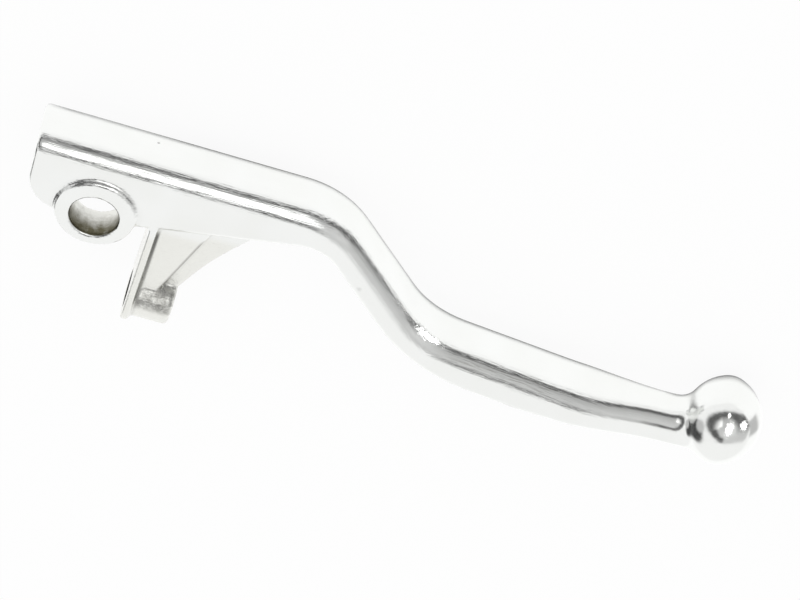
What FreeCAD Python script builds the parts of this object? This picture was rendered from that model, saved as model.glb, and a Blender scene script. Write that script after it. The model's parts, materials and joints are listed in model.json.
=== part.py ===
"""Front brake lever of a motorcycle, one cast aluminium piece.

Frame: Z is the pivot axis, X runs from the pivot to the ball end and Y points forward.
The origin is on the pivot axis, at the lower face of the boss and at half the depth of the lever.
Lengths are in millimetres, angles in degrees.
"""
import FreeCAD
import Part
import Sketcher
import math
import os

NODE = "brake_lever"

# Driving dimensions
SIZES = {
    # Plan of the arm
    "eye_end": 14.5,
    "eye_lean": 0.9,
    "front_line": 16,
    "bend_start": 47.5,
    "bend_angle": 46.2,
    "bend_length": 35.1,
    "grip_angle": 5.7,
    "bend_outer_radius": 20,
    "bend_inner_radius": 20,
    "grip_end": 106.4,
    "grip_end_radius": 90,
    "arm_thickness": 9.5,
    "bend_thickness": 8,
    "grip_thickness": 9.8,
    "belly_reach": 98.4,
    "belly_thickness": 10.2,
    "belly_radius": 130,
    "heel_outer_radius": 36,
    "heel_inner_radius": 8.5,
    "arm_root": 1.2,
    "eye_drop": 2.5,
    "eye_corner_radius": 8,
    # Depth of the arm along the pivot axis
    "arm_depth": 13.2,
    "taper_start": 107.4,
    "taper_end": 120.4,
    "taper_radius": 60,
    "front_round": 4.3,
    "rear_round": 3,
    "end_round": 0.8,
    # Neck and ball end
    "neck_depth": 10,
    "neck_thickness": 8.6,
    "neck_offset": 16,
    "ball_reach": 134.8,
    "ball_offset": 13.2,
    "ball_diameter": 18.6,
    "ball_length": 16.2,
    "ball_edge_radius": 4.6,
    "ball_blend": 4,
    # Recess under the pivot eye, behind the front hood
    "hood_height": 5.6,
    "recess_floor": 0.9,
    "recess_end": 10.6,
    "recess_radius": 4,
    # Pivot eye
    "bore_diameter": 10,
    "bore_chamfer": 0.3,
    "boss_diameter": 16.6,
    "boss_shift": 0.7,
    "boss_height": 0.9,
    "boss_fillet": 0.3,
    # Actuating arm
    "plate_face": 11.4,
    "plate_thickness": 1.7,
    "plate_width": 12.4,
    "plate_round": 0.5,
    "screw_drop": 23.5,
    "screw_hole": 5,
    "screw_countersink": 8,
    "barrel_diameter": 10.4,
    "barrel_length": 9.7,
    "barrel_round": 1.2,
    "rib_thickness": 6.4,
    "rib_top": 25.2,
    "rib_foot": 17.4,
    "rib_fillet": 1.5,
    "rib_round": 0.6,
    "fin_thickness": 2.4,
    "fin_top": 37,
    "fin_waist": 25.9,
    "fin_waist_drop": 8.1,
    "fin_foot": 20.6,
    "fin_hollow": 60,
    "root_overlap": 5,
}

# Corner radius of the plate as a share of its width
TOE_ROUNDNESS = 0.46
# Distance from the screw axis to the foot of the rib, as a share of the barrel diameter
RIB_FOOT = 0.4
# Largest shares of a wall that its edge roundings may take
FRONT_SHARE = 0.45
REAR_SHARE = 0.85
# Share of the heel radius that its arc takes from its line, and the belly radius for each length left
HEEL_ROOM = 0.4
BELLY_ROOM = 9.5
# Distance within which a point counts as lying on a face
TOUCH = 0.01
# Angle of the countersink, in degrees
COUNTERSINK = 90

UP = FreeCAD.Vector(0, 0, 1)


class Size:
    """A length with the sheet expression that it comes from."""

    def __init__(self, value, text):
        self.value = value
        self.text = text

    def __add__(self, other):
        return Size(self.value + other.value, f"({self.text} + {other.text})")

    def __sub__(self, other):
        return Size(self.value - other.value, f"({self.text} - {other.text})")

    def __neg__(self):
        return Size(-self.value, f"(-{self.text})")

    def __mul__(self, other):
        if isinstance(other, Size):
            return Size(self.value * other.value, f"({self.text} * {other.text})")
        return Size(self.value * other, f"({self.text} * {other})")

    def __truediv__(self, other):
        if isinstance(other, Size):
            return Size(self.value / other.value, f"({self.text} / {other.text})")
        return Size(self.value / other, f"({self.text} / {other})")


def sine(angle):
    return Size(math.sin(math.radians(angle.value)), f"sin({angle.text})")


def cosine(angle):
    return Size(math.cos(math.radians(angle.value)), f"cos({angle.text})")


def smaller(first, second):
    return Size(min(first.value, second.value), f"min({first.text}; {second.text})")


def make_sheet(doc):
    """Spreadsheet with one named cell for each driving dimension."""
    sheet = doc.addObject("Spreadsheet::Sheet", "Sizes")
    for row, (name, value) in enumerate(SIZES.items(), start=1):
        sheet.set(f"A{row}", name)
        sheet.set(f"B{row}", str(value))
        sheet.setAlias(f"B{row}", name)
    doc.recompute()
    return sheet


def size(name):
    return Size(float(SIZES[name]), f"Sizes.{name}")


def number(value):
    return Size(float(value), repr(float(value)))


def bind(feature, prop, length):
    """Give a feature's property its value and its sheet expression."""
    setattr(feature, prop, length.value)
    feature.setExpression(prop, length.text)


def make_sketch(body, name, plane, offset=None):
    """Sketch on one of the body's origin planes, moved along its normal by an offset."""
    sketch = body.newObject("Sketcher::SketchObject", name)
    origin = [item for item in body.Origin.OriginFeatures if item.Role == plane][0]
    sketch.AttachmentSupport = (origin, [""])
    sketch.MapMode = "FlatFace"
    if offset is not None:
        sketch.setExpression("AttachmentOffset.Base.z", offset.text)
    return sketch


def place(sketch, geometry, point, position):
    """Dimension one point of a sketch from the sketch's origin."""
    for axis, kind, length in ((-2, "DistanceX", position[0]), (-1, "DistanceY", position[1])):
        if length.value == 0:
            sketch.addConstraint(Sketcher.Constraint("PointOnObject", geometry, point, axis))
            continue
        ends = (-1, 1, geometry, point) if length.value > 0 else (geometry, point, -1, 1)
        index = sketch.addConstraint(Sketcher.Constraint(kind, *ends, abs(length.value)))
        text = length.text if length.value > 0 else f"-({length.text})"
        sketch.setExpression(f"Constraints[{index}]", text)


def dimension(sketch, kind, geometry, length):
    """Set a radius or diameter of one curve of a sketch."""
    index = sketch.addConstraint(Sketcher.Constraint(kind, geometry, length.value))
    sketch.setExpression(f"Constraints[{index}]", length.text)


def add_arc(sketch, before, corner, after, radius):
    """Arc that rounds a corner: returns its index, its end points and their point numbers."""
    into = (corner - before).normalize()
    out = (after - corner).normalize()
    turn = into.x * out.y - into.y * out.x
    half = math.acos(max(-1.0, min(1.0, into.dot(out)))) / 2
    start = corner - into * (radius * math.tan(half))
    end = corner + out * (radius * math.tan(half))
    side = FreeCAD.Vector(-into.y, into.x, 0) * math.copysign(radius, turn)
    centre = start + side
    angles = [math.atan2(p.y - centre.y, p.x - centre.x) for p in (start, end)]
    points = (1, 2)
    if turn < 0:
        angles.reverse()
        points = (2, 1)
    circle = Part.Circle(centre, UP, radius)
    arc = sketch.addGeometry(Part.ArcOfCircle(circle, angles[0], angles[1]), False)
    return arc, start, end, points


def draw_outline(sketch, corners):
    """Closed outline through corners (x, y, radius): a radius of None leaves the corner sharp."""
    spots = [FreeCAD.Vector(x.value, y.value, 0) for x, y, _ in corners]
    count = len(corners)
    starts = list(spots)
    ends = list(spots)
    arcs = {}
    for i, (_, _, radius) in enumerate(corners):
        if radius is None:
            continue
        arc, ends[i], starts[i], points = add_arc(
            sketch, spots[i - 1], spots[i], spots[(i + 1) % count], radius.value)
        arcs[i] = (arc, points)
    lines = []
    for i in range(count):
        segment = Part.LineSegment(starts[i], ends[(i + 1) % count])
        lines.append(sketch.addGeometry(segment, False))
    for i, (x, y, radius) in enumerate(corners):
        if radius is None:
            sketch.addConstraint(Sketcher.Constraint("Coincident", lines[i - 1], 2, lines[i], 1))
            place(sketch, lines[i], 1, (x, y))
            continue
        arc, points = arcs[i]
        sketch.addConstraint(Sketcher.Constraint("Tangent", lines[i - 1], 2, arc, points[0]))
        sketch.addConstraint(Sketcher.Constraint("Tangent", arc, points[1], lines[i], 1))
        dimension(sketch, "Radius", arc, radius)
        mark = sketch.addGeometry(Part.Point(spots[i]), True)
        sketch.addConstraint(Sketcher.Constraint("PointOnObject", mark, 1, lines[i - 1]))
        sketch.addConstraint(Sketcher.Constraint("PointOnObject", mark, 1, lines[i]))
        place(sketch, mark, 1, (x, y))


def draw_circle(sketch, centre, diameter):
    middle = FreeCAD.Vector(centre[0].value, centre[1].value, 0)
    circle = sketch.addGeometry(Part.Circle(middle, UP, diameter.value / 2), False)
    place(sketch, circle, 3, centre)
    dimension(sketch, "Diameter", circle, diameter)


def pad(body, sketch, name, length, symmetric=True):
    feature = body.newObject("PartDesign::Pad", name)
    feature.Profile = sketch
    feature.SideType = "Symmetric" if symmetric else "One side"
    bind(feature, "Length", length)


def pocket_through(body, sketch, name):
    feature = body.newObject("PartDesign::Pocket", name)
    feature.Profile = sketch
    feature.Type = "ThroughAll"
    feature.SideType = "Symmetric"


def round_edges(body, name, radius, chosen):
    """Fillet on the edges of the body's last feature that the chosen test accepts."""
    body.Document.recompute()
    base = body.Tip
    names = [f"Edge{i}" for i, edge in enumerate(base.Shape.Edges, start=1) if chosen(edge)]
    feature = body.newObject("PartDesign::Fillet", name)
    feature.Base = (base, names)
    bind(feature, "Radius", radius)
    body.Document.recompute()


def edge_spots(edge):
    """Three points along an edge."""
    first, last = edge.ParameterRange
    return [edge.valueAt(first + (last - first) * share) for share in (0.05, 0.5, 0.95)]


def arm_corners():
    """Corners of the plan, along the front from the eye to the ball and back along the rear."""
    turn, slope = size("bend_angle"), size("grip_angle")
    bend = (size("bend_start"), size("front_line"))
    heel = (bend[0] + size("bend_length") * cosine(turn), bend[1] - size("bend_length") * sine(turn))
    fall = sine(slope) / cosine(slope)
    grip_end = heel[1] - fall * (size("grip_end") - heel[0])
    belly = heel[1] - fall * (size("belly_reach") - heel[0]) - size("belly_thickness")
    across = sine(turn - slope)
    heel_rear = (
        heel[0] + (size("grip_thickness") * cosine(turn) - size("bend_thickness") * cosine(slope)) / across,
        heel[1] - (size("grip_thickness") * sine(turn) - size("bend_thickness") * sine(slope)) / across)
    bend_rear = (
        bend[0] - (size("bend_thickness") - size("arm_thickness") * cosine(turn)) / sine(turn),
        bend[1] - size("arm_thickness"))
    half_neck = size("neck_thickness") / 2
    belly_room = size("belly_reach") - heel_rear[0] - size("heel_outer_radius") * HEEL_ROOM
    belly_radius = smaller(size("belly_radius"), belly_room * BELLY_ROOM)
    return [
        (-size("eye_end") - size("eye_lean"), size("front_line"), None),
        (bend[0], bend[1], size("bend_outer_radius")),
        (heel[0], heel[1], size("bend_inner_radius")),
        (size("grip_end"), grip_end, size("grip_end_radius")),
        (size("ball_reach"), half_neck - size("neck_offset"), None),
        (size("ball_reach"), -half_neck - size("neck_offset"), None),
        (size("belly_reach"), belly, belly_radius),
        (heel_rear[0], heel_rear[1], size("heel_outer_radius")),
        (bend_rear[0], bend_rear[1], size("heel_inner_radius")),
        (size("plate_face"), -size("arm_root"), None),
        (-size("eye_end"), -size("eye_drop"), size("eye_corner_radius")),
    ]


def chain_gap(spot, corners):
    """Distance in plan from a point to the straight lines through the corners."""
    gaps = []
    for (x0, y0, _), (x1, y1, _) in zip(corners, corners[1:]):
        start = FreeCAD.Vector(x0.value, y0.value, 0)
        along = FreeCAD.Vector(x1.value, y1.value, 0) - start
        flat = FreeCAD.Vector(spot.x, spot.y, 0) - start
        share = max(0.0, min(1.0, flat.dot(along) / along.dot(along)))
        gaps.append((flat - along * share).Length)
    return min(gaps)


def add_arm(body):
    """Arm from the eye to the neck, with its depth tapered and its long edges rounded."""
    spare = size("arm_depth")
    plan = make_sketch(body, "arm_plan", "XY_Plane")
    draw_outline(plan, arm_corners())
    pad(body, plan, "arm_blank", size("arm_depth") + spare)
    depth = make_sketch(body, "arm_depth", "XZ_Plane")
    left = -size("eye_end") - spare
    right = size("ball_reach") + spare
    for side in (1, -1):
        arm, neck = (size(name) / 2 * side for name in ("arm_depth", "neck_depth"))
        outside = arm + spare * side
        draw_outline(depth, [
            (left, arm, None),
            (size("taper_start"), arm, size("taper_radius")),
            (size("taper_end"), neck, size("taper_radius")),
            (right, neck, None),
            (right, outside, None),
            (left, outside, None),
        ])
    pocket_through(body, depth, "arm_sides")
    corners = arm_corners()
    front, rear = corners[:5], corners[5:]
    least_height = size("neck_depth").value / 3
    root = size("plate_face").value

    def on_side(edge):
        spots = edge_spots(edge)
        return all(abs(p.z) > least_height and p.z * spots[0].z > 0 for p in spots)

    def on_front(edge):
        return on_side(edge) and all(
            chain_gap(p, front) < chain_gap(p, rear) for p in edge_spots(edge))

    def on_rear(edge):
        return on_side(edge) and all(
            chain_gap(p, rear) < chain_gap(p, front) and p.x > root for p in edge_spots(edge))

    front_round = smaller(size("front_round"), size("neck_depth") * FRONT_SHARE)
    rear_round = smaller(size("rear_round"), (size("bend_thickness") - size("front_round")) * REAR_SHARE)
    round_edges(body, "front_rounding", front_round, on_front)
    round_edges(body, "rear_rounding", rear_round, on_rear)


def add_recess(body):
    """Recess for the lower bracket ear, open at the rear and closed by the hood at the front."""
    wall = size("front_line") - size("hood_height")
    outside = -size("eye_end") - size("arm_depth")
    low = -size("boss_diameter")
    floor = make_sketch(body, "recess_outline", "XY_Plane", size("recess_floor"))
    draw_outline(floor, [
        (outside, wall, None),
        (size("recess_end"), wall, size("recess_radius")),
        (size("recess_end"), low, None),
        (outside, low, None),
    ])
    cut = body.newObject("PartDesign::Pocket", "recess")
    cut.Profile = floor
    cut.Type = "ThroughAll"
    top_x, top_y, _ = arm_corners()[0]
    low_x, low_y, _ = arm_corners()[-1]
    top = FreeCAD.Vector(top_x.value, top_y.value, 0)
    normal = (top - FreeCAD.Vector(low_x.value, low_y.value, 0)).cross(UP).normalize()

    def on_end(edge):
        spots = edge_spots(edge)
        flat = all(abs((p - top).dot(normal)) < TOUCH for p in spots)
        in_recess = all(p.y < wall.value + TOUCH and p.z < size("recess_floor").value + TOUCH
                        for p in spots)
        return flat and not in_recess

    round_edges(body, "end_rounding", size("end_round"), on_end)


def draw_ball(sketch, level, inner, outer):
    """Half outline of the ball: two caps centred on the axis, joined by a tighter edge round the middle."""
    edge = size("ball_edge_radius")
    middle = size("ball_reach")
    ring = level + size("ball_diameter") / 2 - edge
    rise = ring.value - level.value
    half = (outer.value - inner.value) / 2
    shift = (rise ** 2 - (half - edge.value) ** 2) / (2 * (half - edge.value))
    lean = math.atan2(rise, -shift)

    def add_bend(centre_x, centre_y, radius, first, last):
        circle = Part.Circle(FreeCAD.Vector(centre_x, centre_y, 0), UP, radius)
        return sketch.addGeometry(Part.ArcOfCircle(circle, first, last), False)

    ends = [FreeCAD.Vector(x.value, level.value, 0) for x in (inner, outer)]
    base = sketch.addGeometry(Part.LineSegment(*ends), False)
    place(sketch, base, 1, (inner, level))
    place(sketch, base, 2, (outer, level))
    near_cap = add_bend(middle.value + shift, level.value, half + shift, lean, math.pi)
    rim = add_bend(middle.value, ring.value, edge.value, math.pi - lean, lean)
    far_cap = add_bend(middle.value - shift, level.value, half + shift, 0, math.pi - lean)
    place(sketch, rim, 3, (middle, ring))
    dimension(sketch, "Radius", rim, edge)
    sketch.addConstraint(Sketcher.Constraint("Coincident", near_cap, 2, base, 1))
    sketch.addConstraint(Sketcher.Constraint("Coincident", far_cap, 1, base, 2))
    sketch.addConstraint(Sketcher.Constraint("Tangent", near_cap, 1, rim, 2))
    sketch.addConstraint(Sketcher.Constraint("Tangent", rim, 1, far_cap, 2))
    for cap in (near_cap, far_cap):
        sketch.addConstraint(Sketcher.Constraint("PointOnObject", cap, 3, base))
    axis = sketch.addGeometry(Part.LineSegment(*ends), True)
    place(sketch, axis, 1, (inner, level))
    place(sketch, axis, 2, (outer, level))


def add_ball(body):
    """Ball end, a little shorter than it is wide, blended into the neck."""
    level = -size("ball_offset")
    inner = size("ball_reach") - size("ball_length") / 2
    outer = size("ball_reach") + size("ball_length") / 2
    outline = make_sketch(body, "ball_outline", "XY_Plane")
    draw_ball(outline, level, inner, outer)
    ball = body.newObject("PartDesign::Revolution", "ball")
    ball.Profile = outline
    ball.ReferenceAxis = (outline, ["Axis0"])
    ball.Angle = 360
    centre = FreeCAD.Vector(size("ball_reach").value, level.value, 0)
    reach = size("ball_diameter").value / 2
    neck_reach = math.hypot(size("neck_depth").value, size("neck_thickness").value) / 2

    def at_neck(edge):
        spots = edge_spots(edge)
        near = all((p - centre).Length < reach + 0.1 for p in spots)
        left = all(p.x < centre.x for p in spots)
        beside = all(math.hypot(p.y + size("neck_offset").value, p.z) < neck_reach for p in spots)
        return near and left and beside

    round_edges(body, "ball_blending", size("ball_blend"), at_neck)


def add_eye(body):
    """Boss round the pivot, proud of the side face and of the recess floor."""
    ring = make_sketch(body, "boss_circle", "XY_Plane")
    draw_circle(ring, (number(0), size("boss_shift")), size("boss_diameter"))
    pad(body, ring, "boss", size("arm_depth") / 2 + size("boss_height"), symmetric=False)
    radius = size("boss_diameter").value / 2
    shift = size("boss_shift").value
    side = size("arm_depth").value / 2
    rise = size("boss_height").value

    def at_boss_foot(edge):
        return all(abs(math.hypot(p.x, p.y - shift) - radius) < TOUCH and abs(p.z - side) < rise / 2
                   for p in edge_spots(edge))

    round_edges(body, "boss_foot", size("boss_fillet"), at_boss_foot)


def add_actuator(body):
    """Arm that pushes the piston: a cross plate, a screw barrel behind it and a rib to the lever."""
    face = size("plate_face")
    back = face + size("plate_thickness")
    middle = face + size("plate_thickness") / 2
    half = size("plate_width") / 2
    inside = size("root_overlap") - size("arm_root")
    toe = -size("screw_drop") - half
    toe_round = size("plate_width") * TOE_ROUNDNESS
    plate = make_sketch(body, "plate_outline", "YZ_Plane", face)
    draw_outline(plate, [
        (inside, half, None),
        (toe, half, toe_round),
        (toe, -half, toe_round),
        (inside, -half, None),
    ])
    pad(body, plate, "plate", size("plate_thickness"), symmetric=False)

    def on_plate_rim(edge):
        spots = edge_spots(edge)
        flat = any(all(abs(p.x - level.value) < TOUCH for p in spots) for level in (face, back))
        return flat and max(p.y for p in spots) < -size("arm_root").value - size("rear_round").value / 2

    round_edges(body, "plate_rounding", size("plate_round"), on_plate_rim)
    barrel = make_sketch(body, "barrel_circle", "YZ_Plane", face)
    draw_circle(barrel, (-size("screw_drop"), number(0)), size("barrel_diameter"))
    pad(body, barrel, "barrel", size("barrel_length"), symmetric=False)
    barrel_end = face + size("barrel_length")

    def on_barrel_end(edge):
        return all(abs(p.x - barrel_end.value) < TOUCH for p in edge_spots(edge))

    round_edges(body, "barrel_rounding", size("barrel_round"), on_barrel_end)
    foot = -size("screw_drop") + size("barrel_diameter") * RIB_FOOT
    rib = make_sketch(body, "rib_outline", "XY_Plane")
    draw_outline(rib, [
        (middle, inside, None),
        (size("rib_top"), inside, None),
        (size("rib_foot"), foot, None),
        (middle, foot, None),
    ])
    pad(body, rib, "rib", size("rib_thickness"))
    rib_side = size("rib_thickness").value / 2

    def at_rib_foot(edge):
        return all(abs(p.x - back.value) < TOUCH and abs(abs(p.z) - rib_side) < TOUCH
                   for p in edge_spots(edge))

    round_edges(body, "rib_blending", size("rib_fillet"), at_rib_foot)
    slant = FreeCAD.Vector(size("rib_top").value - size("rib_foot").value, inside.value - foot.value, 0)
    toe_spot = FreeCAD.Vector(size("rib_foot").value, foot.value, 0)

    def on_rib_slant(edge):
        spots = edge_spots(edge)
        beside = all(abs(abs(p.z) - rib_side) < TOUCH for p in spots)
        in_line = all(abs((p - toe_spot).cross(slant).dot(UP)) < TOUCH * slant.Length for p in spots)
        return beside and in_line

    round_edges(body, "rib_rounding", size("rib_round"), on_rib_slant)
    fin = make_sketch(body, "fin_outline", "XY_Plane")
    draw_outline(fin, [
        (middle, inside, None),
        (size("fin_top"), inside + size("root_overlap") / 2, None),
        (size("fin_waist"), -size("fin_waist_drop"), size("fin_hollow")),
        (size("fin_foot"), foot, None),
        (middle, foot, None),
    ])
    pad(body, fin, "fin", size("fin_thickness"))


def add_holes(body):
    """Pivot bore and the hole for the adjuster screw."""
    bore = make_sketch(body, "bore_circle", "XY_Plane")
    draw_circle(bore, (number(0), number(0)), size("bore_diameter"))
    pocket_through(body, bore, "bore")
    body.Document.recompute()
    base = body.Tip
    radius = size("bore_diameter").value / 2
    top = size("arm_depth").value / 2 + size("boss_height").value

    def on_bore_rim(edge):
        return all(abs(math.hypot(p.x, p.y) - radius) < TOUCH and abs(p.z - top) < TOUCH
                   for p in edge_spots(edge))

    chamfer = body.newObject("PartDesign::Chamfer", "bore_chamfer")
    rim = [f"Edge{i}" for i, edge in enumerate(base.Shape.Edges, start=1) if on_bore_rim(edge)]
    chamfer.Base = (base, rim)
    bind(chamfer, "Size", size("bore_chamfer"))
    screw = make_sketch(body, "screw_circle", "YZ_Plane", size("plate_face"))
    draw_circle(screw, (-size("screw_drop"), number(0)), size("screw_hole"))
    body.Document.recompute()
    hole = body.newObject("PartDesign::Hole", "screw_bore")
    hole.Profile = screw
    hole.Reversed = True
    hole.DepthType = "Dimension"
    bind(hole, "Depth", size("barrel_length") + size("screw_hole"))
    hole.DrillPoint = "Flat"
    hole.Threaded = False
    bind(hole, "Diameter", size("screw_hole"))
    hole.HoleCutType = "Countersink"
    hole.HoleCutCustomValues = True
    hole.HoleCutCountersinkAngle = COUNTERSINK
    bind(hole, "HoleCutDiameter", size("screw_countersink"))


def build():
    """Document with the finished body."""
    doc = FreeCAD.newDocument("lever")
    make_sheet(doc)
    body = doc.addObject("PartDesign::Body", NODE)
    for step in (add_arm, add_recess, add_ball, add_eye, add_actuator, add_holes):
        step(body)
        doc.recompute()
    return doc, body


def check(doc, body):
    """Stop before anything is written if a feature has failed."""
    failed = [item.Name for item in doc.Objects if {"Invalid", "Error"} & set(item.State)]
    if failed:
        raise RuntimeError(f"features not built: {failed}")
    if body.Shape.isNull() or not body.Shape.isValid() or len(body.Shape.Solids) != 1:
        raise RuntimeError("the lever is not one valid solid")


doc, body = build()
check(doc, body)
os.makedirs("parts", exist_ok=True)
body.Shape.exportStep(f"parts/{NODE}.step")
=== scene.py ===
"""Looks of a polished cast aluminium brake lever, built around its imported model."""
import json
import math

import bmesh
import bpy
from bpy.props import FloatProperty, FloatVectorProperty, IntProperty, PointerProperty, StringProperty
from bpy.types import Operator, Panel, PropertyGroup
from mathutils import Matrix, Vector


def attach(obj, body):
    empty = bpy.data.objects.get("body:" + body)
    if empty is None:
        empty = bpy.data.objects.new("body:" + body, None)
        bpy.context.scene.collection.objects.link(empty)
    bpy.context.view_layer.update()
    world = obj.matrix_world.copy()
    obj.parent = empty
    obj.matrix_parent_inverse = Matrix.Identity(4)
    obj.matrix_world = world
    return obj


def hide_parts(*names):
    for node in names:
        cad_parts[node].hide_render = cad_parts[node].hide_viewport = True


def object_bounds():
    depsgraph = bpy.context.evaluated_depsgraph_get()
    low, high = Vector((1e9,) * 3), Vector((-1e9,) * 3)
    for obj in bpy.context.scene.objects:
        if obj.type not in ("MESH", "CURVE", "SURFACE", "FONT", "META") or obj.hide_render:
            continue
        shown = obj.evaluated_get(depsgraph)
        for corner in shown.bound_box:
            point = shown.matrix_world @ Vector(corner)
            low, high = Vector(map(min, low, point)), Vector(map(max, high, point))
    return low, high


bl_info = {
    "name": "Brake lever",
    "version": (1, 0, 0),
    "blender": (4, 5, 0),
    "location": "3D View > Sidebar > Lever",
    "description": "Builds the polished casting of a brake lever, its screw thread and its studio",
    "category": "Object",
}

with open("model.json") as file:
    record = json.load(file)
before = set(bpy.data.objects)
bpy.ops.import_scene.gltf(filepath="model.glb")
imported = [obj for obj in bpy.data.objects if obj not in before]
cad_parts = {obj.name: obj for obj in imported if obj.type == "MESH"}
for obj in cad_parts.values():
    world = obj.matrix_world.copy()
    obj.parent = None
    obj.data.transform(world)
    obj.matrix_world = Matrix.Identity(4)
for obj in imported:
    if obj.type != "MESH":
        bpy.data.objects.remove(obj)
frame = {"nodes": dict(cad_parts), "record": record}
cad_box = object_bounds()

NODE = "brake_lever"
BODY = "root"
MM = 0.001

MOUNTS = {mount["name"]: mount for mount in frame["record"]["mounts"]}
PIVOT = MOUNTS["pivot_bore"]
SCREW = MOUNTS["adjuster_hole"]

# Casting: distance at which points are joined, in millimetres, and strength of one softening pass
WELD = 0.002
SOFTENING = 0.5

# Thread: reach into the wall in millimetres, half widths as shares of the pitch, and steps a turn
THREAD_SINK = 0.15
THREAD_FOOT = 0.46
THREAD_CREST = 0.08
THREAD_STEPS = 32

# Zones of the finishes and of the painted shade in millimetres: each runs from the first limit, softly, to
# the last
ARM_REAR = (-1.5, -4.0)
ARM_BEND = (44.0, 38.0)
ARM_EYE = (10.6, 11.2)
BORE_SKIN = (5.3, 5.1)
BORE_DEPTH = (6.5, 1.0)
BARREL_SKIN = (5.6, 5.35)
BARREL_FROM = (13.2, 13.6)
BARREL_TOP = (-24.0, -22.3)
SINK_SKIN = (4.1, 3.9)
SINK_TO = (13.6, 13.2)
RIB_SKIN = (0.9, 0.3)
ROOT_FROM = (12.9, 13.2)
ROOT_TO = (14.2, 13.6)
ROOT_FADE = (-30.0, -5.0)
GRIP_FROM = (74.0, 82.0)
GRIP_TO = (106.0, 98.0)
BAND_LOW = (3.9, 4.6)
BAND_HIGH = (6.4, 6.1)
LINES_END = (116.0, 108.0)
# Ends of the rounded edge of the rib, in millimetres
RIB_EDGE = ((17.4, -19.3, 3.2), (25.2, 3.8, 3.2))
# Course of the lever: ends of the bend and of the grip, and how far each drops to the rear
COURSE = (((47.5, 71.8), 25.3), ((71.8, 135.0), 6.3))

# Range of each noise that is used, and what it gives at its two ends
LINE_TONES = (0.35, 0.7)
LINE_ROUGHNESS = (1.0, 2.2)
LINE_STRENGTH = (0.1, 1.0)
STREAK_TONES = (0.5, 0.72)
GRAIN_TONES = (0.3, 0.7)
GRAIN_ROUGHNESS = (0.7, 1.3)
GRAIN_STRENGTH = (0.03, 0.8)
PATCH_TONES = (0.35, 0.6)
PATCH_LEAST = 0.08
BORE_TONES = (0.3, 0.7)
BORE_UNEVEN = (-0.2, 0.2)
# Share of open sky at which the painted shade of a crease begins and is full, and rays that measure it
CREASE_COVER = (0.9, 0.5)
COVER_RAYS = 8
# Part of a mark's reach that is dull all over
MARK_CORE = 0.3

# Floor: gap under the lever in millimetres, half its width in metres, and open sky in its shadow
FLOOR_GAP = 0.3
FLOOR_HALF = 3.0
SHADOW_COVER = (0.3, 0.8)
# Dark strip on the floor, past the ball: its start in millimetres and its slopes to the front and rear
STRIP_FROM = (154.0, 170.0)
STRIP_FRONT = (0.3, 0.15)
STRIP_REAR = (-0.4, -0.25)

# Tent: edges of its opening, rim, room and cards, as shares of the opening or of a direction
OPENING_EDGE = (1.06, 0.94)
OPENING_FLOOR = (0.0, 0.05)
RIM_SOFTNESS = 0.1
RIM_REAR = (0.2, -0.3)
RIM_SIDE = (0.12, 0.3)
ROOM_HEIGHT = (-0.6, 0.6)
ROOM_TONES = (1.2, 0.75)
ROOM_SIDE = (0.4, 0.75)
CARD_EDGE = (0.9, 0.96)
GREY_CARD_EDGE = (0.965, 0.985)

# Lamps at the ball: direction, width in metres and strength
LAMPS = {
    "main_lamp": ((0.36, 0.42, 0.83), 0.023, 1.5),
    "front_lamp": ((0.088, 0.845, 0.528), 0.007, 0.8),
    "side_lamp": ((0.894, 0.315, 0.318), 0.013, 1.2),
}
# Lamp at the bend and panel over the pivot end: direction and sizes in metres
BEND_WAY = (0.71, 0.59, 0.39)
BEND_SIZES = (0.014, 0.014)
PANEL_WAY = (0.085, 0.36, 0.93)
PANEL_SIZES = (0.08, 0.12)

# Camera: width of its sensor in millimetres and its reach in metres
SENSOR = 36
CLIP_END = 20


def linear(code):
    """Linear colour of an sRGB hex value."""
    parts = [int(code[i:i + 2], 16) / 255 for i in (1, 3, 5)]
    return [p / 12.92 if p <= 0.04045 else ((p + 0.055) / 1.055) ** 2.4 for p in parts] + [1.0]


def add_node(tree, kind, settings=None, inputs=None):
    """Node with its settings, and its inputs given as values or as output sockets."""
    node = tree.nodes.new(kind)
    for name, value in (settings or {}).items():
        setattr(node, name, value)
    for name, value in (inputs or {}).items():
        if isinstance(value, bpy.types.NodeSocket):
            tree.links.new(value, node.inputs[name])
        else:
            node.inputs[name].default_value = value
    return node


def new_material(name):
    """Material with an empty node tree."""
    material = bpy.data.materials.new(name)
    material.use_nodes = True
    material.node_tree.nodes.clear()
    return material, material.node_tree


def link(name, mesh, material):
    """Object at the origin with a mesh and one material."""
    piece = bpy.data.objects.new(name, mesh)
    bpy.context.scene.collection.objects.link(piece)
    mesh.materials.clear()
    mesh.materials.append(material)
    return piece


def combine(tree, operation, *values):
    """Two or more values put together by one operation, in turn."""
    result = values[0]
    for value in values[1:]:
        result = add_node(tree, "ShaderNodeMath", {"operation": operation}, {
            0: result, 1: value}).outputs["Value"]
    return result


def remap(tree, value, limits, low=0.0, high=1.0):
    """Straight change from the low result at the first limit to the high one at the last."""
    return add_node(tree, "ShaderNodeMapRange", inputs={
        "Value": value, "From Min": limits[0], "From Max": limits[1],
        "To Min": low, "To Max": high}).outputs["Result"]


def soft_step(tree, value, limits, most=1.0):
    """Soft step from 0 at the first limit to the most at the last."""
    return add_node(tree, "ShaderNodeMapRange", {"interpolation_type": "SMOOTHSTEP"}, {
        "Value": value, "From Min": limits[0], "From Max": limits[1], "To Max": most}).outputs["Result"]


def zone(tree, value, limits):
    """Soft step between two limits in millimetres."""
    return soft_step(tree, value, [limit * MM for limit in limits])


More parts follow.
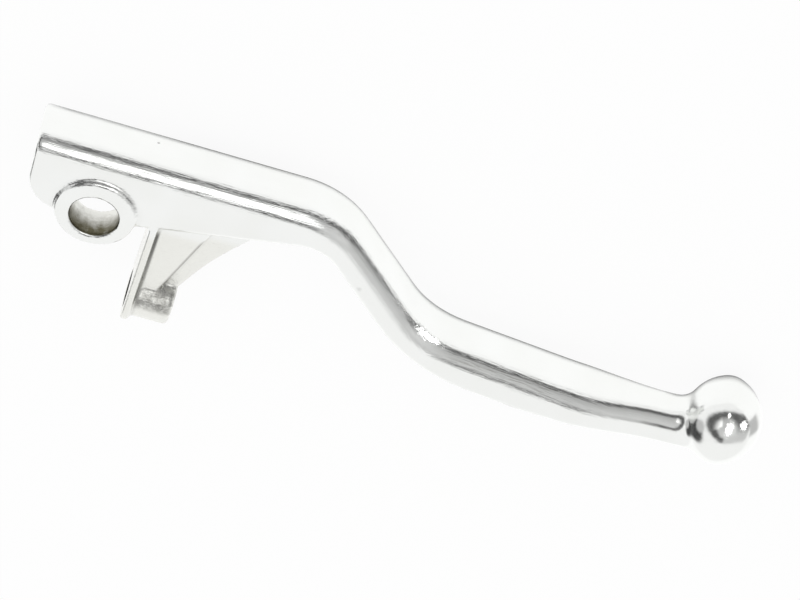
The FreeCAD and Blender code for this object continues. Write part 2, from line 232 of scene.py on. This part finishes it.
def blend(tree, share, first, second):
    """Colour between two colours, given as sRGB hex values or as sockets."""
    first, second = (linear(c) if isinstance(c, str) else c for c in (first, second))
    return add_node(tree, "ShaderNodeMix", {"data_type": "RGBA"}, {
        "Factor": share, "A": first, "B": second}).outputs["Result"]


def between(tree, share, first, second):
    """Number between two numbers."""
    return add_node(tree, "ShaderNodeMix", {"data_type": "FLOAT"}, {
        "Factor": share, "A": first, "B": second}).outputs["Result"]


def line_distance(tree, place, spot, way):
    """Distance of a place from the line through a spot."""
    away = add_node(tree, "ShaderNodeVectorMath", {"operation": "SUBTRACT"}, {0: place, 1: spot})
    side = add_node(tree, "ShaderNodeVectorMath", {"operation": "CROSS_PRODUCT"}, {
        0: away.outputs["Vector"], 1: Vector(way).normalized()})
    return add_node(tree, "ShaderNodeVectorMath", {"operation": "LENGTH"}, {
        0: side.outputs["Vector"]}).outputs["Value"]


def noise(tree, place, size, detail, roughness=0.5):
    """Noise with patches of one size in millimetres."""
    return add_node(tree, "ShaderNodeTexNoise", inputs={
        "Vector": place, "Scale": 1 / (size * MM), "Detail": detail,
        "Roughness": roughness}).outputs["Fac"]


def polishing_lines(tree, x, y, z, look):
    """Fine lines that follow the bend and the grip.

    The real ones are under 0.1 mm apart, so they are drawn about three times as coarse, to show.
    """
    drops = [remap(tree, x, [end * MM for end in ends], high=drop * MM) for ends, drop in COURSE]
    course = add_node(tree, "ShaderNodeCombineXYZ", inputs={
        "X": x, "Y": combine(tree, "ADD", y, *drops), "Z": z})
    stretch = look.line_gap / look.line_length
    along = add_node(tree, "ShaderNodeMapping", inputs={
        "Vector": course.outputs["Vector"], "Scale": (stretch, 1, 1)})
    return noise(tree, along.outputs["Vector"], look.line_gap, detail=2.0, roughness=0.6)


def patchiness(tree, place, look):
    """Uneven patches of the barrel's skin in its painted dark reflection, and of the painted shade on the
    bore's wall.
    """
    return noise(tree, place, look.patch_size, detail=4.0, roughness=0.6)


def hollow_shade_share(tree, x, y, screw, tumbled, look):
    """Share of painted shade: in the countersink and along the foot of the plate."""
    sunk = combine(tree, "MULTIPLY", zone(tree, screw, SINK_SKIN), zone(tree, x, SINK_TO))
    root = combine(
        tree, "MULTIPLY", zone(tree, x, ROOT_FROM), zone(tree, x, ROOT_TO), zone(tree, y, ROOT_FADE), tumbled,
        look.root_shade_share)
    return combine(tree, "MAXIMUM", sunk, root)


def dull_and_shade_share(tree, place, x, y, screw, tumbled, look):
    """Share of dull metal and painted shade: painted dark reflection on the barrel's skin, painted shade in
    creases and along the rib's edge, dull metal of the mark and pit.
    """
    # Mottled patches on the half of the barrel towards the lever: a painted dark reflection
    patches = remap(tree, patchiness(tree, place, look), PATCH_TONES, PATCH_LEAST, look.reflection_patch_share)
    barrel = combine(
        tree, "MULTIPLY", patches, tumbled, zone(tree, screw, BARREL_SKIN), zone(tree, x, BARREL_FROM),
        zone(tree, y, BARREL_TOP))
    # Painted shade in creases, where little open sky is seen
    cover = add_node(tree, "ShaderNodeAmbientOcclusion", {"samples": COVER_RAYS}, {
        "Distance": look.crease_width * MM})
    crease = remap(tree, cover.outputs["AO"], CREASE_COVER)
    # Painted shade line along the rib's rounded edge
    foot, top = (Vector(end) * MM for end in RIB_EDGE)
    edge = combine(
        tree, "MULTIPLY", zone(tree, line_distance(tree, place, foot, top - foot), RIB_SKIN), tumbled,
        look.rib_edge_shade_share)
    shares = [barrel, crease, edge]
    for spot, reach, share in (
            (look.mark, look.mark_width, look.mark_share), (look.pit, look.pit_width, look.pit_share)):
        away = add_node(tree, "ShaderNodeVectorMath", {"operation": "DISTANCE"}, {
            0: place, 1: Vector(spot) * MM})
        limits = (reach * MM, reach * MARK_CORE * MM)
        shares.append(soft_step(tree, away.outputs["Value"], limits, share))
    return combine(tree, "MAXIMUM", *shares)


def polished_aluminium(look):
    """Cast aluminium, linished and buffed: a bright mirror with fine lines along the lever.

    The screw arm is only tumbled, so it keeps the grain of the mould and a duller shine. The colour also
    holds painted shade in creases, hollows and the bore, and a painted dark reflection on the barrel.
    """
    material, tree = new_material("polished_cast_aluminium")
    place = add_node(tree, "ShaderNodeTexCoord").outputs["Object"]
    split = add_node(tree, "ShaderNodeSeparateXYZ", inputs={"Vector": place})
    x, y, z = (split.outputs[name] for name in "XYZ")
    tumbled = combine(
        tree, "MULTIPLY", zone(tree, y, ARM_REAR), zone(tree, x, ARM_BEND), zone(tree, x, ARM_EYE))
    # The bore's wall is machined, not polished
    bored = zone(tree, line_distance(tree, place, PIVOT["pos_m"], PIVOT["axis"]), BORE_SKIN)
    lines = polishing_lines(tree, x, y, z, look)
    grain = noise(tree, place, look.grain_size, detail=4.0, roughness=0.65)

    line_rough = remap(tree, lines, LINE_TONES, *(look.polish_roughness * part for part in LINE_ROUGHNESS))
    grain_rough = remap(tree, grain, GRAIN_TONES, *(look.cast_roughness * part for part in GRAIN_ROUGHNESS))
    rough = between(tree, tumbled, line_rough, grain_rough)
    rough = between(tree, bored, rough, look.bore_roughness)

    # Slow unevenness of hand polishing
    wave = noise(tree, place, look.wave_size, detail=1.0)
    colour = blend(tree, wave, look.bright_hex, look.shade_hex)
    # Streaks along the rounded front of the grip
    streaks = combine(
        tree, "MULTIPLY", remap(tree, lines, STREAK_TONES, 0.0, look.streak_share),
        zone(tree, x, GRIP_FROM), zone(tree, x, GRIP_TO), zone(tree, z, BAND_LOW), zone(tree, z, BAND_HIGH))
    colour = blend(tree, streaks, colour, look.oil_hex)
    colour = blend(tree, tumbled, colour, look.cast_hex)
    # Painted shade in the bore: darkest near its rim, lighter further in, and uneven
    deep = combine(
        tree, "ADD", zone(tree, z, BORE_DEPTH),
        remap(tree, patchiness(tree, place, look), BORE_TONES, *BORE_UNEVEN))
    bore_shade_colour = blend(tree, deep, look.bore_shade_hex, look.cast_hex)
    colour = blend(tree, bored, colour, bore_shade_colour)
    screw = line_distance(tree, place, SCREW["pos_m"], SCREW["axis"])
    # Painted shade and painted dark reflection, with the dull metal of the mark and pit
    dull = dull_and_shade_share(tree, place, x, y, screw, tumbled, look)
    colour = blend(tree, dull, colour, look.dull_and_shade_hex)
    # Painted shade in the countersink and along the foot of the plate
    hollow_shade = hollow_shade_share(tree, x, y, screw, tumbled, look)
    colour = blend(tree, hollow_shade, colour, look.hollow_shade_hex)

    # The neck and the ball are buffed past the lines
    linished = remap(tree, x, [end * MM for end in LINES_END], *LINE_STRENGTH)
    line_bump = add_node(tree, "ShaderNodeBump", inputs={
        "Strength": linished, "Distance": look.line_depth * MM, "Height": lines})
    grain_bump = add_node(tree, "ShaderNodeBump", inputs={
        "Strength": remap(tree, tumbled, (0, 1), *GRAIN_STRENGTH), "Distance": look.grain_depth * MM,
        "Height": grain, "Normal": line_bump.outputs["Normal"]})
    shader = add_node(tree, "ShaderNodeBsdfPrincipled", inputs={
        "Base Color": colour, "Metallic": 1.0, "Roughness": rough,
        "Normal": grain_bump.outputs["Normal"]})
    add_node(tree, "ShaderNodeOutputMaterial", inputs={"Surface": shader.outputs["BSDF"]})
    return material


def cut_aluminium(look):
    """Tapped aluminium: bright cut metal, unevenly darkened by oil."""
    material, tree = new_material("tapped_aluminium")
    place = add_node(tree, "ShaderNodeTexCoord").outputs["Object"]
    grain = noise(tree, place, look.grain_size, detail=2.0)
    colour = blend(tree, grain, look.cast_hex, look.oil_hex)
    shader = add_node(tree, "ShaderNodeBsdfPrincipled", inputs={
        "Base Color": colour, "Metallic": 1.0, "Roughness": look.cast_roughness})
    add_node(tree, "ShaderNodeOutputMaterial", inputs={"Surface": shader.outputs["BSDF"]})
    return material


class LeverLook(PropertyGroup):
    """Sizes and colours of the casting."""
    voxel: FloatProperty(
        name="Surface step", description="Mesh step of the polished skin, in millimetres",
        default=0.36, min=0.2, max=1.0)
    soften: IntProperty(
        name="Softening", description="Passes that soften the edges as polishing does",
        default=3, min=0, max=12)
    bright_hex: StringProperty(
        name="Bright metal", description="Colour of the buffed metal, as sRGB hex", default="#F6F7F6")
    shade_hex: StringProperty(
        name="Second metal", description="Colour of the less buffed patches, as sRGB hex", default="#F0F1EE")
    cast_hex: StringProperty(
        name="Cast metal", description="Colour of the tumbled screw arm, as sRGB hex", default="#EEEEE9")
    # Colour of the painted shade in the bore, darkest near its rim
    bore_shade_hex: StringProperty(
        name="Bore", description="Colour of the bore's wall, as sRGB hex", default="#66624F")
    # Colour of the painted shade in creases and along the rib's edge, of the painted dark reflection on the
    # barrel, and of the dull metal of the mark and pit
    dull_and_shade_hex: StringProperty(
        name="Creases", description="Colour of the metal in the creases, as sRGB hex", default="#55534B")
    # Colour of the painted shade in the countersink and along the plate's foot
    hollow_shade_hex: StringProperty(
        name="Grime", description="Colour of the grime by the plate, as sRGB hex", default="#22211D")
    oil_hex: StringProperty(
        name="Oil", description="Colour of the streaks and the oiled thread, as sRGB hex", default="#8E8C84")
    polish_roughness: FloatProperty(
        name="Polish", description="Roughness of the buffed metal", default=0.10, min=0.02, max=0.6)
    cast_roughness: FloatProperty(
        name="Tumbled finish", description="Roughness of the screw arm", default=0.2, min=0.05, max=0.9)
    bore_roughness: FloatProperty(
        name="Bored finish", description="Roughness of the bore's wall", default=0.35, min=0.05, max=0.9)
    # Reach of the painted shade in creases
    crease_width: FloatProperty(
        name="Crease width", description="Reach of the dull metal in creases, in millimetres", default=1.2)
    line_gap: FloatProperty(
        name="Line spacing", description="Spacing of the polishing lines, in millimetres", default=0.3)
    line_length: FloatProperty(
        name="Line length", description="Length of the polishing lines, in millimetres", default=5.0)
    line_depth: FloatProperty(
        name="Line depth", description="Depth of the polishing lines, in millimetres", default=0.05)
    streak_share: FloatProperty(
        name="Streaks", description="Strength of the streaks on the grip", default=0.45)
    wave_size: FloatProperty(
        name="Polishing waves", description="Size of the slow unevenness, in millimetres", default=9.0)
    grain_size: FloatProperty(
        name="Grain", description="Grain of the casting, in millimetres", default=0.5)
    grain_depth: FloatProperty(
        name="Grain depth", description="Depth of the grain, in millimetres", default=0.12)
    patch_size: FloatProperty(
        name="Patches", description="Size of the patches on barrel and bore, in millimetres", default=1.6)
    # Strength of the painted dark reflection on the barrel
    reflection_patch_share: FloatProperty(
        name="Patch strength", description="Strength of the dull patches", default=0.5)
    # Strength of the painted shade line along the rib's edge
    rib_edge_shade_share: FloatProperty(
        name="Edge strength", description="Strength of the dull metal along the rib's edge", default=0.55)
    # Strength of the painted shade along the plate's foot
    root_shade_share: FloatProperty(
        name="Root strength", description="Strength of the grime along the plate's foot", default=0.85)
    mark: FloatVectorProperty(
        name="Mark", description="Place of the casting mark, in millimetres", default=(55.1, 0.2, 6.5))
    mark_width: FloatProperty(name="Mark width", description="Reach of the mark, in millimetres", default=0.8)
    pit: FloatVectorProperty(
        name="Pit", description="Place of the pit in the front, in millimetres", default=(8.2, 16.0, -1.6))
    pit_width: FloatProperty(name="Pit width", description="Reach of the pit, in millimetres", default=0.4)
    mark_share: FloatProperty(
        name="Mark strength", description="Strength of the dull metal in the mark", default=0.12)
    pit_share: FloatProperty(
        name="Pit strength", description="Strength of the dull metal in the pit", default=0.5)
    mark_depth: FloatProperty(
        name="Mark depth", description="Depth of the mark and pit, as a share of their reach", default=0.3)
    thread_middle: FloatProperty(
        name="Thread middle", description="Middle of the thread on the lever, in millimetres", default=17.0)
    thread_pitch: FloatProperty(
        name="Thread pitch", description="Pitch of the adjuster thread, in millimetres", default=0.8)
    thread_depth: FloatProperty(
        name="Thread depth", description="Height of the thread's crests, in millimetres", default=0.4)


class StudioLook(PropertyGroup):
    """Camera, light and floor."""
    aim: FloatVectorProperty(
        name="Aim", description="Point at the middle of the picture",
        default=(0.0638, -0.0010, 0.0050), unit="LENGTH")
    towards: FloatVectorProperty(
        name="View", description="Direction from the lever to the camera", default=(-0.0847, 0.6895, 0.7193))
    upward: FloatVectorProperty(
        name="Up", description="Direction that is up in the picture", default=(-0.2747, 0.6779, -0.6822))
    width: FloatProperty(
        name="Width", description="Width that the picture shows", default=0.16064, unit="LENGTH")
    distance: FloatProperty(
        name="Distance", description="Distance of the camera", default=1.4, unit="LENGTH")
    floor_hex: StringProperty(name="Floor", description="Colour of the floor, as sRGB hex", default="#FEFEFE")
    tent: FloatProperty(name="Tent", description="Strength of the white tent", default=0.98)
    opening_lean: FloatProperty(
        name="Opening's lean", description="Lean of the opening to the front, in degrees", default=27.0)
    opening_half: FloatProperty(
        name="Opening's height", description="Half the opening's height, in degrees", default=43.0)
    opening_width: FloatProperty(
        name="Opening's width", description="Half the width, as a share of the distance", default=1.0)
    opening_side: FloatProperty(
        name="Opening's place", description="Sideways place, as a share of the distance", default=0.12)
    rim: FloatProperty(name="Rim", description="Share of the opening inside its dark rim", default=0.66)
    rim_light: FloatProperty(name="Rim light", description="Strength of the opening's dark rim", default=0.1)
    rim_right: FloatProperty(
        name="Rim's right", description="Strength of the rim at its rear right", default=0.6)
    room: FloatProperty(name="Room", description="Strength of the room behind the opening", default=0.55)
    room_right: FloatProperty(
        name="Room's right", description="Strength of the room's right, as a share of the rest", default=1.4)
    card: FloatVectorProperty(
        name="Card", description="Direction of the dark card", default=(-0.85, -0.5, 0.2))
    card_light: FloatProperty(name="Card light", description="Strength of the dark card", default=0.05)
    grey_card: FloatVectorProperty(
        name="Grey card", description="Direction of the grey card", default=(-0.9, -0.22, 0.36))
    floor_light: FloatProperty(
        name="Floor light", description="Strength of the floor in reflections", default=1.08)
    strip: FloatProperty(
        name="Strip", description="Strength of the floor's dark strip, as a share", default=0.5)
    contact: FloatProperty(
        name="Contact shadow", description="Reach of the shadow under the lever, in millimetres", default=7.0)
    shadow: FloatProperty(
        name="Shadow", description="Share of the floor's shadow that the camera sees", default=0.08)
    lamp_aim: FloatVectorProperty(
        name="Lamp aim", description="Point that the lamps are turned to",
        default=(0.1348, -0.0132, 0.0), unit="LENGTH")
    lamp_distance: FloatProperty(
        name="Lamp distance", description="Distance of the lamps", default=0.06, unit="LENGTH")
    bend_aim: FloatVectorProperty(
        name="Bend aim", description="Point of the bend that has a lamp of its own",
        default=(0.0745, -0.0086, 0.004), unit="LENGTH")
    bend_light: FloatProperty(name="Bend light", description="Strength of the bend's lamp", default=0.5)
    lamp_spread: FloatProperty(
        name="Lamp spread", description="Spread of the lamps' light, in degrees", default=60.0)
    panel: FloatProperty(name="Panel", description="Strength of the panel over the pivot end", default=0.3)
    panel_aim: FloatVectorProperty(
        name="Panel aim", description="Point that the panel is turned to",
        default=(0.02, 0.012, 0.005), unit="LENGTH")
    panel_distance: FloatProperty(
        name="Panel distance", description="Distance of the panel", default=0.15, unit="LENGTH")
    panel_spread: FloatProperty(
        name="Panel spread", description="Spread of the panel's light, in degrees", default=95.0)
    panel_turn: FloatProperty(name="Panel turn", description="Turn of the panel, in degrees", default=-42.0)


class LEVER_OT_casting(Operator):
    """Polished skin of the casting, with edges softened as by buffing"""
    bl_idname = "lever.casting"
    bl_label = "Casting"

    def execute(self, context):
        look = context.scene.lever_look
        mesh = frame["nodes"][NODE].data.copy()
        shell = bmesh.new()
        shell.from_mesh(mesh)
        bmesh.ops.remove_doubles(shell, verts=shell.verts, dist=WELD * MM)
        shell.to_mesh(mesh)
        shell.free()
        piece = link("polished_casting", mesh, polished_aluminium(look))
        remesh = piece.modifiers.new("skin", "REMESH")
        remesh.mode = "VOXEL"
        remesh.voxel_size = look.voxel * MM
        remesh.use_smooth_shade = True
        graph = context.evaluated_depsgraph_get()
        skin = bpy.data.meshes.new_from_object(piece.evaluated_get(graph))
        piece.modifiers.clear()
        piece.data = skin
        shell = bmesh.new()
        shell.from_mesh(skin)
        for _ in range(look.soften):
            bmesh.ops.smooth_vert(
                shell, verts=shell.verts, factor=SOFTENING,
                use_axis_x=True, use_axis_y=True, use_axis_z=True)
        for spot, width in ((look.mark, look.mark_width), (look.pit, look.pit_width)):
            self.add_mark(shell, Vector(spot) * MM, width * MM, look.mark_depth * width * MM)
        for face in shell.faces:
            face.smooth = True
        shell.to_mesh(skin)
        shell.free()
        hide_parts(NODE)
        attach(piece, BODY)
        return {"FINISHED"}

    def add_mark(self, shell, spot, width, depth):
        """Shallow dent at the point of the skin nearest to a spot."""
        shell.normal_update()
        centre = min(shell.verts, key=lambda v: (v.co - spot).length_squared).co.copy()
        near = [(v, (v.co - centre).length / width) for v in shell.verts]
        for vert, share in near:
            if share < 1:
                vert.co -= vert.normal * depth * (1 - share ** 2) ** 2


class LEVER_OT_thread(Operator):
    """Thread inside the adjuster hole"""
    bl_idname = "lever.thread"
    bl_label = "Thread"

    def execute(self, context):
        look = context.scene.lever_look
        radius = SCREW["dims"]["r_mm"] * MM
        length = SCREW["dims"]["length_mm"] * MM
        centre = Vector(SCREW["pos_m"])
        pitch = look.thread_pitch * MM
        depth = look.thread_depth * MM
        foot = radius + THREAD_SINK * MM
        crest = radius - depth
        start = look.thread_middle * MM - length / 2 + pitch / 2
        turns = (length - pitch) / pitch
        steps = int(turns * THREAD_STEPS)
        thread = bmesh.new()
        profile = [
            (start - pitch * THREAD_FOOT, foot),
            (start - pitch * THREAD_CREST, crest),
            (start + pitch * THREAD_CREST, crest),
            (start + pitch * THREAD_FOOT, foot),
        ]
        corners = [thread.verts.new((x, centre.y + r, centre.z)) for x, r in profile]
        face = thread.faces.new(corners)
        bmesh.ops.spin(
            thread, geom=[face, *face.edges, *face.verts], cent=centre, axis=(1, 0, 0),
            dvec=(pitch * turns / steps, 0, 0), angle=turns * 2 * math.pi, steps=steps, use_duplicate=False)
        bmesh.ops.recalc_face_normals(thread, faces=thread.faces)
        mesh = bpy.data.meshes.new("screw_thread")
        thread.to_mesh(mesh)
        thread.free()
        piece = link("screw_thread", mesh, cut_aluminium(look))
        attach(piece, BODY)
        return {"FINISHED"}


class LEVER_OT_studio(Operator):
    """White floor, soft light and the camera"""
    bl_idname = "lever.studio"
    bl_label = "Studio"

    def execute(self, context):
        look = context.scene.lever_studio
        self.add_floor(look)
        self.add_world(context, look)
        self.add_lamps(look)
        self.add_camera(context, look)
        context.scene.view_settings.view_transform = "Standard"
        return {"FINISHED"}

    def add_floor(self, look):
        """White sheet just under the lever."""
        material, tree = new_material("white_paper")
        path = add_node(tree, "ShaderNodeLightPath")
        matt = add_node(tree, "ShaderNodeBsdfDiffuse", inputs={"Color": linear(look.floor_hex)})
        lit = add_node(tree, "ShaderNodeEmission", inputs={"Color": linear(look.floor_hex), "Strength": 1.0})
        share = add_node(tree, "ShaderNodeMath", {"operation": "MULTIPLY"}, {
            0: path.outputs["Is Camera Ray"], 1: 1 - look.shadow})
        both = add_node(tree, "ShaderNodeMixShader", inputs={
            0: share.outputs["Value"], 1: matt.outputs["BSDF"], 2: lit.outputs["Emission"]})
        # In reflections the floor is white, apart from the dark strip and the shadow under the lever
        cover = add_node(tree, "ShaderNodeAmbientOcclusion", {"samples": COVER_RAYS}, {
            "Distance": look.contact * MM})
        split = add_node(tree, "ShaderNodeSeparateXYZ", inputs={
            "Vector": add_node(tree, "ShaderNodeTexCoord").outputs["Object"]})
        ball_x, ball_y = look.lamp_aim[:2]
        slope = combine(
            tree, "DIVIDE", combine(tree, "SUBTRACT", split.outputs["Y"], ball_y),
            combine(tree, "SUBTRACT", split.outputs["X"], ball_x))
        strip = combine(
            tree, "MULTIPLY", zone(tree, split.outputs["X"], STRIP_FROM),
            soft_step(tree, slope, STRIP_FRONT), soft_step(tree, slope, STRIP_REAR))
        near = add_node(tree, "ShaderNodeEmission", inputs={"Strength": combine(
            tree, "MULTIPLY", remap(tree, cover.outputs["AO"], SHADOW_COVER, 0.0, look.floor_light),
            between(tree, strip, 1.0, look.strip))})
        seen = add_node(tree, "ShaderNodeMixShader", inputs={
            0: path.outputs["Is Glossy Ray"], 1: both.outputs["Shader"], 2: near.outputs["Emission"]})
        add_node(tree, "ShaderNodeOutputMaterial", inputs={"Surface": seen.outputs["Shader"]})
        sheet = bmesh.new()
        low = cad_box[0][2] - FLOOR_GAP * MM
        bmesh.ops.create_grid(sheet, x_segments=1, y_segments=1, size=FLOOR_HALF)
        bmesh.ops.translate(sheet, verts=sheet.verts, vec=(0, 0, low))
        mesh = bpy.data.meshes.new("floor")
        sheet.to_mesh(mesh)
        sheet.free()
        link("floor", mesh, material)

    def add_world(self, context, look):
        """White tent with an opening over the lever, a room behind it and two cards."""
        world = bpy.data.worlds.new("white_tent")
        world.use_nodes = True
        tree = world.node_tree
        tree.nodes.clear()
        path = add_node(tree, "ShaderNodeLightPath")
        way = add_node(tree, "ShaderNodeTexCoord").outputs["Generated"]
        split = add_node(tree, "ShaderNodeSeparateXYZ", inputs={"Vector": way})
        # Distance from the middle of the opening, which is an ellipse that leans to the front
        lean, half = math.radians(look.opening_lean), math.sin(math.radians(look.opening_half))
        high = add_node(tree, "ShaderNodeVectorMath", {"operation": "DOT_PRODUCT"}, {
            0: way, 1: (0, math.cos(lean) / half, -math.sin(lean) / half)})
        wide = add_node(tree, "ShaderNodeMath", {"operation": "MULTIPLY_ADD"}, {
            0: split.outputs["X"], 1: 1 / look.opening_width, 2: -look.opening_side / look.opening_width})
        flat = add_node(tree, "ShaderNodeCombineXYZ", inputs={
            "X": wide.outputs["Value"], "Y": high.outputs["Value"]})
        away = add_node(tree, "ShaderNodeVectorMath", {"operation": "LENGTH"}, {
            0: flat.outputs["Vector"]}).outputs["Value"]
        outer = soft_step(tree, away, OPENING_EDGE)
        inner = soft_step(tree, away, (look.rim + RIM_SOFTNESS, look.rim - RIM_SOFTNESS))
        above = add_node(tree, "ShaderNodeVectorMath", {"operation": "DOT_PRODUCT"}, {
            0: way, 1: (0, math.sin(lean), math.cos(lean))})
        # The rim is lighter at its rear right
        rear = remap(tree, high.outputs["Value"], RIM_REAR)
        right = remap(tree, split.outputs["X"], RIM_SIDE)
        rim_light = between(
            tree, combine(tree, "MULTIPLY", rear, right), look.rim_light, look.rim_right)
        room = combine(
            tree, "MULTIPLY",
            remap(tree, high.outputs["Value"], ROOM_HEIGHT, *(look.room * tone for tone in ROOM_TONES)),
            remap(tree, split.outputs["X"], ROOM_SIDE, 1.0, look.room_right))
        inside = between(tree, inner, rim_light, room)
        opening = combine(
            tree, "MULTIPLY", outer, soft_step(tree, above.outputs["Value"], OPENING_FLOOR),
            path.outputs["Is Glossy Ray"])
        # A dark card at the left of the rear draws the ends of the faces, and a grey one the neck
        tent = look.tent
        for place, limits, light in (
                (look.card, CARD_EDGE, look.card_light), (look.grey_card, GREY_CARD_EDGE, look.room)):
            facing = add_node(tree, "ShaderNodeVectorMath", {"operation": "DOT_PRODUCT"}, {
                0: way, 1: Vector(place).normalized()})
            card = combine(
                tree, "MULTIPLY", soft_step(tree, facing.outputs["Value"], limits),
                path.outputs["Is Glossy Ray"])
            tent = between(tree, card, tent, light)
        back = add_node(tree, "ShaderNodeBackground", inputs={
            "Color": (1, 1, 1, 1), "Strength": between(tree, opening, tent, inside)})
        add_node(tree, "ShaderNodeOutputWorld", inputs={"Surface": back.outputs["Background"]})
        context.scene.world = world

    def add_lamps(self, look):
        """Small lamps round the ball, one at the bend and a soft panel over the pivot end."""
        for name, (way, across, radiance) in LAMPS.items():
            lamp = self.add_lamp(
                name, Vector(look.lamp_aim), way, look.lamp_distance, (across, across), radiance)
            lamp.data.shape = "ELLIPSE"
            lamp.data.spread = math.radians(look.lamp_spread)
        bend_lamp = self.add_lamp(
            "bend_lamp", Vector(look.bend_aim), BEND_WAY, look.lamp_distance, BEND_SIZES, look.bend_light)
        bend_lamp.data.spread = math.radians(look.lamp_spread / 2)
        panel = self.add_lamp(
            "panel", Vector(look.panel_aim), PANEL_WAY, look.panel_distance, PANEL_SIZES, look.panel)
        panel.rotation_euler.rotate_axis("Z", math.radians(look.panel_turn))
        panel.data.spread = math.radians(look.panel_spread)

    def add_lamp(self, name, aim, way, distance, sizes, radiance):
        """Flat lamp that faces a point."""
        data = bpy.data.lights.new(name, "AREA")
        data.shape = "RECTANGLE"
        data.size, data.size_y = sizes
        data.energy = radiance * math.pi * sizes[0] * sizes[1]
        lamp = bpy.data.objects.new(name, data)
        bpy.context.scene.collection.objects.link(lamp)
        lamp.location = aim + Vector(way).normalized() * distance
        lamp.rotation_euler = Vector(way).to_track_quat("Z", "Y").to_euler()
        lamp.visible_camera = False
        lamp.visible_diffuse = False
        return lamp

    def add_camera(self, context, look):
        """Camera that shows the set width at its aim."""
        data = bpy.data.cameras.new("camera")
        camera = bpy.data.objects.new("camera", data)
        context.scene.collection.objects.link(camera)
        back = Vector(look.towards).normalized()
        right = Vector(look.upward).cross(back).normalized()
        up = back.cross(right)
        turn = Matrix((right, up, back)).transposed().to_4x4()
        camera.matrix_world = Matrix.Translation(Vector(look.aim) + back * look.distance) @ turn
        data.sensor_width = SENSOR
        data.lens = data.sensor_width * look.distance / look.width
        data.clip_end = CLIP_END
        context.scene.camera = camera


class LEVER_PT_panel(Panel):
    """Pieces of the lever and its studio"""
    bl_idname = "LEVER_PT_panel"
    bl_label = "Brake lever"
    bl_space_type = "VIEW_3D"
    bl_region_type = "UI"
    bl_category = "Lever"

    def draw(self, context):
        for step in STEPS:
            self.layout.operator(step.bl_idname)
        for group in (context.scene.lever_look, context.scene.lever_studio):
            for name in group.__annotations__:
                self.layout.prop(group, name)


STEPS = (LEVER_OT_casting, LEVER_OT_thread, LEVER_OT_studio)
CLASSES = (LeverLook, StudioLook, *STEPS, LEVER_PT_panel)


def register():
    for cls in CLASSES:
        bpy.utils.register_class(cls)
    bpy.types.Scene.lever_look = PointerProperty(type=LeverLook)
    bpy.types.Scene.lever_studio = PointerProperty(type=StudioLook)


def unregister():
    del bpy.types.Scene.lever_studio
    del bpy.types.Scene.lever_look
    for cls in reversed(CLASSES):
        bpy.utils.unregister_class(cls)


def main():
    register()
    bpy.ops.lever.casting()
    bpy.ops.lever.thread()
    bpy.ops.lever.studio()


if __name__ == "__main__":
    main()
